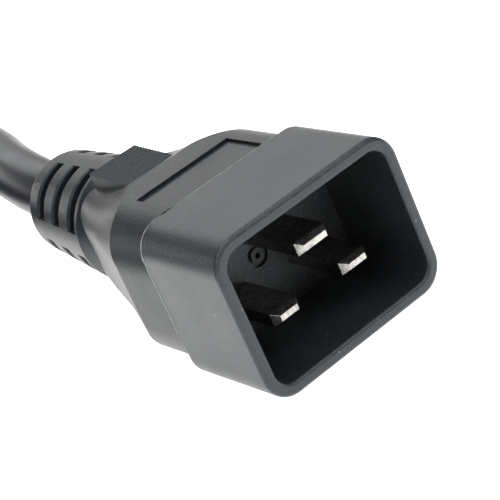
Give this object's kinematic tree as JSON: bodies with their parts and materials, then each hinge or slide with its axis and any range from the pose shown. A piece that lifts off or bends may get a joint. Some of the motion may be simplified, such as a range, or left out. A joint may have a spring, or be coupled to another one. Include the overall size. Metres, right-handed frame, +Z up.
{
  "type": "power cord",
  "caption": "Power lead with a shrouded flat-blade plug, a thick round cord wound into a tied coil, and the matching slotted connector on its far end.",
  "frame": {"origin": "on the floor under the middle of the plug, at the bottom centre of the plug's own box", "axes": "+Y from the plug's open end towards the cord, +X along the long side of the plug's face, +Z up, with the plug lying on a broad side"},
  "size_m": [0.139, 0.2353, 0.025],
  "materials": {
    "hood_plastic": "fine moulded texture, near-black grey",
    "overmould": "soft moulded plastic, matte on the band and satin on the neck and relief",
    "plated_contact": "nickel-plated brass, drawn and lightly brushed",
    "socket_brass": "folded tin-plated brass",
    "insert_plastic": "smooth moulded plastic",
    "cord_jacket": "smooth satin jacket",
    "tie_fabric": "woven hook-and-loop strap",
    "line_insulation": "smooth",
    "neutral_insulation": "smooth",
    "earth_insulation": "smooth, green with a yellow stripe",
    "copper_strands": "bare twisted copper"
  },
  "bodies": {
    "root": {"plug_hood": "hood_plastic", "plug_line_blade": "plated_contact", "plug_neutral_blade": "plated_contact", "plug_earth_blade": "plated_contact", "plug_line_insulation": "line_insulation", "plug_neutral_insulation": "neutral_insulation", "plug_earth_insulation": "earth_insulation", "plug_line_strands": "copper_strands", "plug_neutral_strands": "copper_strands", "plug_earth_strands": "copper_strands", "plug_overmold": "overmould", "connector_insert": "insert_plastic", "connector_line_socket": "socket_brass", "connector_neutral_socket": "socket_brass", "connector_earth_socket": "socket_brass", "connector_line_insulation": "line_insulation", "connector_neutral_insulation": "neutral_insulation", "connector_earth_insulation": "earth_insulation", "connector_line_strands": "copper_strands", "connector_neutral_strands": "copper_strands", "connector_earth_strands": "copper_strands", "connector_overmold": "overmould", "cord_tube": "cord_jacket", "cord_coil": "cord_jacket", "cord_tail": "cord_jacket", "cable_tie": "tie_fabric"}
  },
  "joints": []
}
